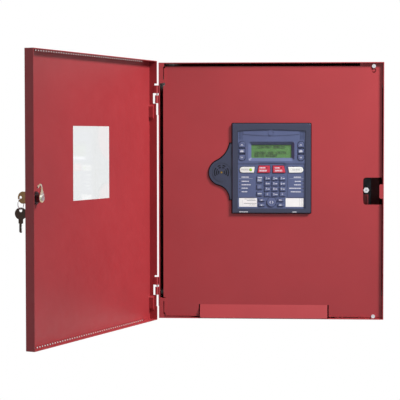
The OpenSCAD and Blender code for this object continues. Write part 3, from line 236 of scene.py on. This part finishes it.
def dress(material_by_slot):
    """Gives every CAD node the material of its slot in the record."""
    for part in frame["record"]["subparts"]:
        slot = part["material_slot"]
        if part["node"].startswith("door") and slot == "red_paint":
            slot = "door_paint"
        if part["node"] == "display_window":
            slot = "display_glass"
        data = NODES[part["node"]].data
        data.materials.clear()
        data.materials.append(material_by_slot[slot])


# ---- thin printed and moulded shapes --------------------------------------------

INK = 0.05 * MM  # how far a print stands out of its face
SUNK = INK / 4  # how far it reaches into it


class Print:
    """Thin raised shapes on an upright plane that faces -Y, gathered in one mesh.

    Places and sizes are in millimetres from a centre.
    """

    def __init__(self, centre, face_y):
        self.centre = centre
        self.face_y = face_y
        self.mesh = bmesh.new()

    def shape(self, points):
        """A closed outline of (across, up)."""
        area = sum(a[0] * b[1] - b[0] * a[1] for a, b in zip(points, points[1:] + points[:1]))
        if area < 0:
            points = points[::-1]
        places = [(self.centre.x + x * MM, self.centre.z + z * MM) for x, z in points]
        front = [self.mesh.verts.new((x, self.face_y - INK, z)) for x, z in places]
        back = [self.mesh.verts.new((x, self.face_y + SUNK, z)) for x, z in places]
        self.mesh.faces.new(front)
        self.mesh.faces.new(back[::-1])
        for i in range(len(front)):
            j = (i + 1) % len(front)
            self.mesh.faces.new((front[i], back[i], back[j], front[j]))

    def bar(self, x, z, w, h, r=0.0):
        """A bar about (x, z), with round corners."""
        if r <= 0:
            self.shape([(x - w / 2, z - h / 2), (x + w / 2, z - h / 2),
                        (x + w / 2, z + h / 2), (x - w / 2, z + h / 2)])
            return
        r = min(r, w / 2 - 0.001, h / 2 - 0.001)
        corners = [(x + w / 2 - r, z + h / 2 - r, 0), (x - w / 2 + r, z + h / 2 - r, 90),
                   (x - w / 2 + r, z - h / 2 + r, 180), (x + w / 2 - r, z - h / 2 + r, 270)]
        self.shape([(cx + r * math.cos(math.radians(a + s)), cz + r * math.sin(math.radians(a + s)))
                    for cx, cz, a in corners for s in (0, 30, 60, 90)])

    def chevron(self, x, z, w, h, width, turn):
        """An arrow head whose point is turned from up by that many degrees."""
        angle = math.radians(turn)

        def place(px, pz):
            return (x + px * math.cos(angle) - pz * math.sin(angle),
                    z + px * math.sin(angle) + pz * math.cos(angle))
        slope = math.hypot(w / 2, h)
        below_point = width * slope / (w / 2)
        along_foot = width * slope / h
        outline = ((-w / 2, -h / 2), (0, h / 2), (w / 2, -h / 2), (w / 2 - along_foot, -h / 2),
                   (0, h / 2 - below_point), (-w / 2 + along_foot, -h / 2))
        self.shape([place(*point) for point in outline])

    def box(self, x, z, w, h, width):
        """A thin rectangular outline."""
        for s in (-1, 1):
            self.bar(x, z + s * (h - width) / 2, w, width)
            self.bar(x + s * (w - width) / 2, z, width, h - 2 * width)

    def word(self, x0, z, w, h, seed):
        """A row of blocks of uneven width that stands for a word, from x0 to x0 + w."""
        gap = 0.28
        count = max(2, round(w / h / 0.72))
        widths = [1.0 + 0.35 * math.sin(2.3 * seed + 1.7 * i) for i in range(count)]
        unit = w / (sum(widths) + gap * (count - 1))
        x = x0
        for i, size in enumerate(widths):
            tall = h * (1.0 if (i + seed) % 3 else 0.86)
            self.bar(x + size * unit / 2, z, size * unit, tall, 0.18 * h)
            x += (size + gap) * unit

    def text(self, words, x, z, height):
        """Plain figures, centred on (x, z)."""
        curve = bpy.data.curves.new("figure", "FONT")
        curve.body = words
        curve.size = 1.0
        curve.align_x = "CENTER"
        curve.resolution_u = 3
        holder = bpy.data.objects.new("figure", curve)
        bpy.context.scene.collection.objects.link(holder)
        bpy.context.view_layer.update()
        filled = holder.evaluated_get(bpy.context.evaluated_depsgraph_get())
        mesh = bpy.data.meshes.new_from_object(filled)
        low = min(v.co.y for v in mesh.vertices)
        high = max(v.co.y for v in mesh.vertices)
        left = min(v.co.x for v in mesh.vertices)
        right = max(v.co.x for v in mesh.vertices)
        size = height * MM / (high - low)
        place = (self.centre.x + x * MM, self.face_y - INK, self.centre.z + z * MM)
        mesh.transform(
            Matrix.Translation(place)
            @ Matrix.Rotation(math.pi / 2, 4, "X")
            @ Matrix.Scale(size, 4)
            @ Matrix.Translation((-(left + right) / 2, -(low + high) / 2, 0)))
        figure = bmesh.new()
        figure.from_mesh(mesh)
        bmesh.ops.remove_doubles(figure, verts=figure.verts, dist=1e-6)
        grown = bmesh.ops.extrude_face_region(figure, geom=figure.faces[:])["geom"]
        moved = [v for v in grown if isinstance(v, bmesh.types.BMVert)]
        bmesh.ops.translate(figure, vec=(0, INK + SUNK, 0), verts=moved)
        bmesh.ops.recalc_face_normals(figure, faces=figure.faces)
        figure.to_mesh(mesh)
        figure.free()
        self.mesh.from_mesh(mesh)
        bpy.data.objects.remove(holder)
        bpy.data.curves.remove(curve)
        bpy.data.meshes.remove(mesh)

    def piece(self, name, body, material, slot):
        """Closes the print as one object that rides on a body."""
        add_piece(name, self.mesh, body, material)


def add_piece(name, mesh, body, material):
    """A new object from that mesh, which rides on a body."""
    data = bpy.data.meshes.new(name)
    mesh.to_mesh(data)
    mesh.free()
    data.materials.append(material)
    piece = bpy.data.objects.new(name, data)
    bpy.context.scene.collection.objects.link(piece)
    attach(piece, body)


def middle(node):
    low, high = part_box(node)
    return (Vector(low) + Vector(high)) / 2


def front_y(node):
    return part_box(node)[0][1]


# ---- legends --------------------------------------------------------------------

KEYPAD_CENTRE = Vector((middle("label_inserts").x, 0,
                        (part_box("keypad_frame")[0][2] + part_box("keypad_frame")[1][2]) / 2))
# The raised status fields lie this far behind the white keys' faces
STATUS_FACE = front_y("acknowledge_key") + 1.0 * MM


def digit_legends(looks):
    """A figure at the left of each key, with a short word beside it."""
    faces = {f"key_{n}": str(n) for n in range(10)}
    faces["key_star"] = "*"
    faces["key_hash"] = "#"
    for i, (key, figure) in enumerate(faces.items()):
        ink = Print(middle(key), front_y(key))
        lone = figure in "*#"
        ink.text(figure, -0.3 if lone else -2.2, 0.2, 3.0 if lone else 3.9)
        if not lone:
            ink.word(0.3, -0.2, 3.6 if figure != "0" else 4.2, 1.5, i)
        ink.piece(key + "_legend", key, looks["legend_white"], "label_card")


def menu_legends(looks):
    """A word over a framed word, a framed arrow, and a word alone."""
    for key in ("menu_key_top", "menu_key_middle", "menu_key_bottom"):
        ink = Print(middle(key), front_y(key))
        if key == "menu_key_top":
            ink.word(-3.6, 3.0, 7.6, 2.0, 3)
            ink.box(-0.4, -1.8, 7.2, 3.6, 0.35)
            ink.word(-2.9, -1.8, 5.2, 1.5, 5)
        elif key == "menu_key_middle":
            ink.box(-0.4, 0.2, 5.4, 3.6, 0.35)
            ink.chevron(-0.4, 0.2, 2.4, 1.6, 0.5, 90)
        else:
            ink.word(-3.8, 0, 7.2, 1.9, 8)
        look = "legend_dim" if key == "menu_key_middle" else "legend_white"
        ink.piece(key + "_legend", key, looks[look], "label_card")


def scroll_legends(looks):
    """Arrow heads on the upper and lower keys beside the display, two lines on those between."""
    for side in ("left", "right"):
        for name, turn, lift in (("scroll_up", 0, -0.6), ("scroll_down", 180, 0.6)):
            key = f"{name}_{side}"
            ink = Print(middle(key), front_y(key))
            ink.chevron(0, lift, 5.0, 3.0, 0.7, turn)
            ink.piece(key + "_legend", key, looks["legend_white"], "label_card")
        key = "scroll_enter_" + side
        ink = Print(middle(key), front_y(key))
        ink.word(-2.6, 1.1, 5.2, 1.5, 2)
        ink.bar(0, -1.3, 6.2, 1.5, 0.3)
        ink.piece(key + "_legend", key, looks["legend_white"], "label_card")


def function_legends(looks):
    """Words on the two red and two white keys, from the keypad's centre."""
    # Each red key's left edge of print, and the widths of its upper word and its lower field
    words = {"silence_key": (-22.4, 11.4, 13.9), "drill_key": (6.6, 8.9, 13.9)}
    for i, (key, (left, word_w, field_w)) in enumerate(words.items()):
        ink = Print(KEYPAD_CENTRE, front_y(key))
        ink.word(left, 1.0, word_w, 2.1, i + 2)
        ink.word(left + 0.6, -4.2, field_w - 1.2, 1.7, i + 5)
        ink.box(left + field_w / 2, -4.2, field_w, 3.4, 0.3)
        ink.piece(key + "_legend", key, looks["legend_white"], "label_card")
    for key, x in (("acknowledge_key", -50.0), ("reset_key", 46.6)):
        ink = Print(KEYPAD_CENTRE, front_y(key))
        ink.box(x, -2.7, 17.4 if x < 0 else 20.0, 4.6, 0.3)
        ink.word(x - 7.2, -2.7, 14.4, 1.5, 4 if x < 0 else 9)
        ink.piece(key + "_legend", key, looks["legend_grey"], "label_card")


def soft_legends(looks):
    """A figure and a short word on the four soft keys, two arrow heads on the round key."""
    for i in range(4):
        key = f"soft_key_{i + 1}"
        side = 1 if i < 2 else -1
        ink = Print(middle(key), front_y(key))
        ink.text(str(i + 1), 0.6 * side + 1.6, 0, 2.3)
        ink.word(0.6 * side - 2.4, 0, 2.8, 2.0, i)
        ink.piece(key + "_legend", key, looks["legend_white"], "label_card")
    ink = Print(middle("nav_key"), front_y("nav_key"))
    ink.chevron(-2.6, 0, 5.6, 2.5, 0.8, 90)
    ink.chevron(2.6, 0, 5.6, 2.5, 0.8, -90)
    ink.piece("nav_key_legend", "nav_key", looks["legend_white"], "label_card")


def status_legends(looks):
    """Headings, rules and rows of words beside the lamps, printed on the fascia."""
    rows = [-24.4, -30.9, -37.4, -44.0]
    left = [13.4, 17.0, 11.4, 10.6]
    right = [11.2, 12.4, 21.8, 18.6]
    ink = Print(KEYPAD_CENTRE, STATUS_FACE)
    ink.word(-56.0, -16.5, 13.6, 1.9, 1)
    ink.word(55.6 - 13.2, -16.5, 13.2, 1.9, 4)
    for i, z in enumerate(rows):
        ink.word(-55.8, z, left[i], 1.8, i + 2)
        ink.word(55.4 - right[i], z, right[i], 1.8, i + 6)
    ink.piece("status_words", "cabinet", looks["legend_white"], "label_card")
    ink = Print(KEYPAD_CENTRE, STATUS_FACE)
    ink.bar(-48.0, -19.2, 25.6, 0.5)
    ink.bar(47.6, -19.2, 26.2, 0.5)
    ink.piece("status_rules", "cabinet", looks["legend_dim"], "label_card")


def frame_words(looks):
    """Two words at the frame's foot."""
    ink = Print(KEYPAD_CENTRE, front_y("keypad_frame"))
    ink.word(-60.2, -81.9, 15.8, 1.7, 3)
    ink.word(40.0, -81.9, 7.6, 1.7, 1)
    ink.piece("frame_words", "cabinet", looks["legend_white"], "label_card")


def label_lines(looks):
    """Faint typed lines and a margin rule on the left label, two fold marks on the right one."""
    # Left end, width, place up and height of each typed line
    lines = [(-50.5, 20.5, -57.8, 1.0), (-46.0, 16.4, -60.6, 1.3), (-52.2, 24.2, -66.0, 1.3),
             (-41.0, 11.4, -69.0, 1.0)]
    ink = Print(KEYPAD_CENTRE, front_y("label_inserts"))
    for i, (x0, w, z, h) in enumerate(lines):
        ink.word(x0, z, w, h, i)
    ink.bar(-54.6, -63.6, 0.25, 9.0)
    for x in (53.2, 56.6):
        ink.bar(x, -63.8, 0.25, 15.4)
    ink.piece("label_lines", "cabinet", looks["legend_grey"], "label_card")


# Five by seven dots of each plain figure, a row at a time from the top
DOTS = {
    "0": "01110 10001 10011 10101 11001 10001 01110",
    "1": "00100 01100 00100 00100 00100 00100 01110",
    "2": "01110 10001 00001 00010 00100 01000 11111",
    "3": "11111 00010 00100 00010 00001 10001 01110",
    "4": "00010 00110 01010 10010 11111 00010 00010",
    "5": "11111 10000 11110 00001 00001 10001 01110",
    "6": "00110 01000 10000 11110 10001 10001 01110",
    "7": "11111 00001 00010 00100 01000 01000 01000",
    "8": "01110 10001 10001 01110 10001 10001 01110",
    "9": "01110 10001 10001 01111 00001 00010 01100",
    ":": "00000 01100 01100 00000 01100 01100 00000",
    "-": "00000 00000 00000 11111 00000 00000 00000",
}


def display_figures(looks):
    """Four lines of twenty places on the display, filled with plain figures."""
    lines = ["  1234-567 890123", "", " 246802 468 135791", " 08:15 010203"]
    places = 20
    pitch_x, pitch_z, dot = 3.55, 5.35, 0.6
    dot_w, dot_h = 1.5 * dot, 1.45 * dot
    ink = Print(middle("display_window"), front_y("display_module"))
    for row, words in enumerate(lines):
        for column, figure in enumerate(words):
            if figure == " ":
                continue
            x0 = (column - (places - 1) / 2) * pitch_x - 2 * dot
            z0 = ((len(lines) - 1) / 2 - row) * pitch_z + 3 * dot
            for down, bits in enumerate(DOTS[figure].split()):
                for across, bit in enumerate(bits):
                    if bit == "1":
                        ink.bar(x0 + across * dot, z0 - down * dot * 1.15, dot_w, dot_h)
    ink.piece("display_figures", "cabinet", looks["crystal_dark"], "dark_plastic")


# ---- lamps ----------------------------------------------------------------------

BARREL = 0.8 * MM  # how far a lens reaches back
# Lamps in the function keys: key, across, up, radius and rise in millimetres, material and slot
KEY_LAMPS = [("acknowledge_key", -38.8, -2.8, 2.5, 0.5, "lamp_green", "display_green"),
             ("silence_key", -8.6, 0.9, 0.9, 0.2, "lamp_off", "dark_plastic"),
             ("drill_key", 18.7, 0.9, 0.9, 0.2, "lamp_off", "dark_plastic")]
# The eight status lamps: their faces, and how far across and up from the keypad's centre
STATUS_LAMP_Y = -130.4 * MM
STATUS_LAMP_X = 59.6
STATUS_LAMP_ROWS = [-24.7, -31.3, -37.9, -44.5]
STATUS_LAMP_R = 1.0
STUD_R = 1.9
LENS_RISE = 0.2  # of the status lamps and the stud


def dome(mesh, x, y, z, r, rise, n=24, rings=5):
    """A shallow lens facing -Y, on a barrel that reaches back to the lamp behind it."""
    turns = [2 * math.pi * i / n for i in range(n)]
    loops = []
    for ring in range(rings):
        slant = math.radians(90 * ring / rings)
        depth = y - rise * math.sin(slant)
        reach = r * math.cos(slant)
        loops.append([mesh.verts.new((x + reach * math.cos(a), depth, z + reach * math.sin(a)))
                      for a in turns])
    tip = mesh.verts.new((x, y - rise, z))
    base = [mesh.verts.new((v.co.x, y + BARREL, v.co.z)) for v in loops[0]]
    loops.insert(0, base)
    mesh.faces.new(base[::-1])
    for a, b in zip(loops, loops[1:]):
        for i in range(n):
            j = (i + 1) % n
            mesh.faces.new((a[i], a[j], b[j], b[i]))
    for i in range(n):
        mesh.faces.new((loops[-1][i], loops[-1][(i + 1) % n], tip))
    bmesh.ops.recalc_face_normals(mesh, faces=mesh.faces)


def lamps(looks):
    """Lenses on the status lamps and on those in the keys' holes, and the sounder's stud.

    The keys move round the lamps in their holes, which stay with the cabinet.
    """
    mesh = bmesh.new()
    for x in (-STATUS_LAMP_X, STATUS_LAMP_X):
        for z in STATUS_LAMP_ROWS:
            dome(mesh, KEYPAD_CENTRE.x + x * MM, STATUS_LAMP_Y, KEYPAD_CENTRE.z + z * MM,
                 STATUS_LAMP_R * MM, LENS_RISE * MM)
    add_piece("status_lamps", mesh, "cabinet", looks["lamp_off"])
    for key, x, z, r, rise, look, slot in KEY_LAMPS:
        mesh = bmesh.new()
        dome(mesh, KEYPAD_CENTRE.x + x * MM, front_y(key), KEYPAD_CENTRE.z + z * MM,
             r * MM, rise * MM)
        add_piece(key.replace("_key", "_lamp"), mesh, "cabinet", looks[look])
    stud = middle("sounder")
    mesh = bmesh.new()
    dome(mesh, stud.x, front_y("sounder") - 0.4 * MM, stud.z, STUD_R * MM, LENS_RISE * MM)
    add_piece("sounder_stud", mesh, "cabinet", looks["stud_brass"])


# ---- stage ----------------------------------------------------------------------

FLOOR_Z = -1.35
FLOOR_REACH = 3.5
# Added to what the camera sees of the floor, over the light and the shadow that fall on it
FLOOR_GLOW = 0.26
WORLD_LIGHT = 0.16
# Soft boxes: name, place, point aimed at, size across, spread in degrees, watts, colour
LIGHTS = [
    ("key_light", (1.386, -0.997, 1.472), (0.25, -0.13, 0.2), 0.45, 60, 9.2, (255, 251, 247)),
    ("fill_light", (0.9, -2.0, 1.3), (0.1, -0.13, 0.1), 1.2, 180, 1.2, (248, 250, 255)),
    ("top_light", (0.2, -0.9, 2.3), (0.1, -0.4, -1.35), 2.2, 180, 11, (250, 252, 255)),
    ("back_light", (-1.5, 1.8, 1.1), (-0.1, 0, 0), 1.6, 180, 45, (250, 252, 255)),
]


def background_rays(nodes, links):
    """1 for rays that see a background: from the camera, off a gloss or through glass. Else 0."""
    path = nodes.new("ShaderNodeLightPath")
    either = nodes.new("ShaderNodeMath")
    either.operation = "MAXIMUM"
    both = nodes.new("ShaderNodeMath")
    both.operation = "MAXIMUM"
    links.new(path.outputs["Is Camera Ray"], either.inputs[0])
    links.new(path.outputs["Is Transmission Ray"], either.inputs[1])
    links.new(either.outputs[0], both.inputs[0])
    links.new(path.outputs["Is Glossy Ray"], both.inputs[1])
    return both.outputs[0]


def make_floor():
    """A plain pale floor well below the panel, which hangs on a wall."""
    mesh = bmesh.new()
    bmesh.ops.create_grid(mesh, x_segments=8, y_segments=8, size=FLOOR_REACH)
    data = bpy.data.meshes.new("floor")
    mesh.to_mesh(data)
    mesh.free()
    floor = bpy.data.objects.new("floor", data)
    floor.location = (0, 0, FLOOR_Z)
    bpy.context.scene.collection.objects.link(floor)
    pale = Surface("pale_floor", srgb(238, 238, 240), 0.8).mottle(2, 0.01)
    glow = pale.nodes.new("ShaderNodeEmission")
    glow.inputs["Color"].default_value = (FLOOR_GLOW, FLOOR_GLOW, FLOOR_GLOW, 1)
    pale.links.new(background_rays(pale.nodes, pale.links), glow.inputs["Strength"])
    add = pale.nodes.new("ShaderNodeAddShader")
    pale.links.new(pale.shader.outputs[0], add.inputs[0])
    pale.links.new(glow.outputs[0], add.inputs[1])
    pale.links.new(add.outputs[0], pale.nodes["Material Output"].inputs["Surface"])
    data.materials.append(pale.material)


def make_world():
    """White behind the object, and a soft even light on it."""
    world = bpy.data.worlds.new("studio")
    bpy.context.scene.world = world
    world.use_nodes = True
    nodes, links = world.node_tree.nodes, world.node_tree.links
    nodes.clear()
    out = nodes.new("ShaderNodeOutputWorld")
    seen = nodes.new("ShaderNodeBackground")
    seen.inputs["Color"].default_value = (1, 1, 1, 1)
    seen.inputs["Strength"].default_value = 1.0
    soft = nodes.new("ShaderNodeBackground")
    soft.inputs["Color"].default_value = srgb(244, 247, 255)
    soft.inputs["Strength"].default_value = WORLD_LIGHT
    mix = nodes.new("ShaderNodeMixShader")
    links.new(background_rays(nodes, links), mix.inputs["Fac"])
    links.new(soft.outputs[0], mix.inputs[1])
    links.new(seen.outputs[0], mix.inputs[2])
    links.new(mix.outputs[0], out.inputs["Surface"])


def make_lights():
    """The soft boxes of the table above."""
    for name, place, aim, size, spread, watts, colour in LIGHTS:
        data = bpy.data.lights.new(name, "AREA")
        data.size = size
        data.spread = math.radians(spread)
        data.energy = watts
        data.color = srgb(*colour)[:3]
        light = bpy.data.objects.new(name, data)
        light.location = place
        light.rotation_mode = "QUATERNION"
        light.rotation_quaternion = (Vector(aim) - Vector(place)).to_track_quat("-Z", "Y")
        bpy.context.scene.collection.objects.link(light)


# ---- the scene ------------------------------------------------------------------

make_camera()
looks = make_materials()
dress(looks)
digit_legends(looks)
menu_legends(looks)
scroll_legends(looks)
function_legends(looks)
soft_legends(looks)
status_legends(looks)
frame_words(looks)
label_lines(looks)
display_figures(looks)
lamps(looks)
make_floor()
make_world()
make_lights()
bpy.context.scene.view_settings.view_transform = "Standard"
